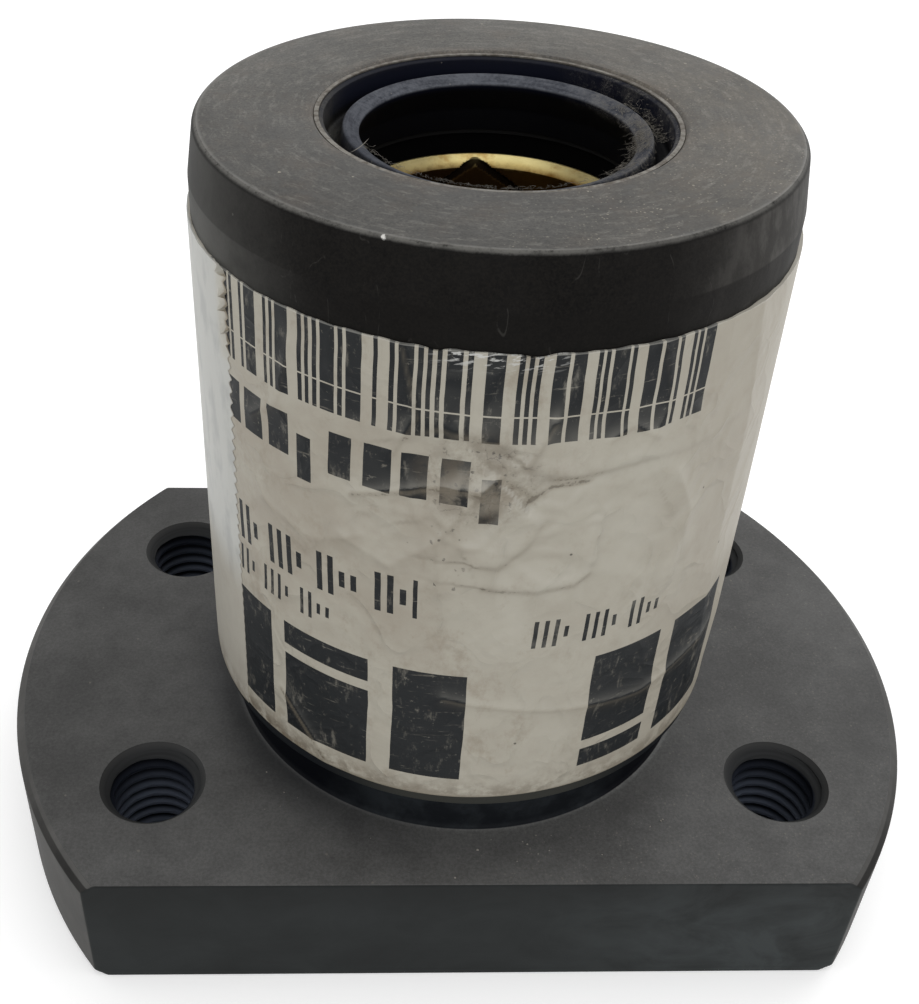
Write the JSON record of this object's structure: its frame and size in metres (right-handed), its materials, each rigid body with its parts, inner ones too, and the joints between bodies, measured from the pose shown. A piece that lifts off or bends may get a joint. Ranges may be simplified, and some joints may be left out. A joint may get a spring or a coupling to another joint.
{
  "type": "flanged guide bush",
  "caption": "Round blackened-steel guide bush with a flatted bolt-on flange, a bronze-lined bore for a sliding shaft, rubber wipers in its ends and a paper label round the barrel.",
  "frame": {"origin": "centre of the flange's underside, on the shaft's axis", "axes": "+Z along the shaft from the flange to the barrel's end, +X along the flange's long way, flats on -Y and +Y"},
  "size_m": [0.1, 0.064, 0.08],
  "materials": {
    "black_steel": "black oxide, matt, oiled",
    "bronze": "turned",
    "case_steel": "pressed sheet, dull",
    "wiper_rubber": "moulded, dusty",
    "label_paper": "aged adhesive paper"
  },
  "bodies": {
    "root": {"flange": "black_steel", "barrel": "black_steel", "upper_bush": "bronze", "lower_bush": "bronze", "upper_wiper_case": "case_steel", "lower_wiper_case": "case_steel", "upper_wiper_lip": "wiper_rubber", "lower_wiper_lip": "wiper_rubber", "label": "label_paper"}
  },
  "joints": []
}
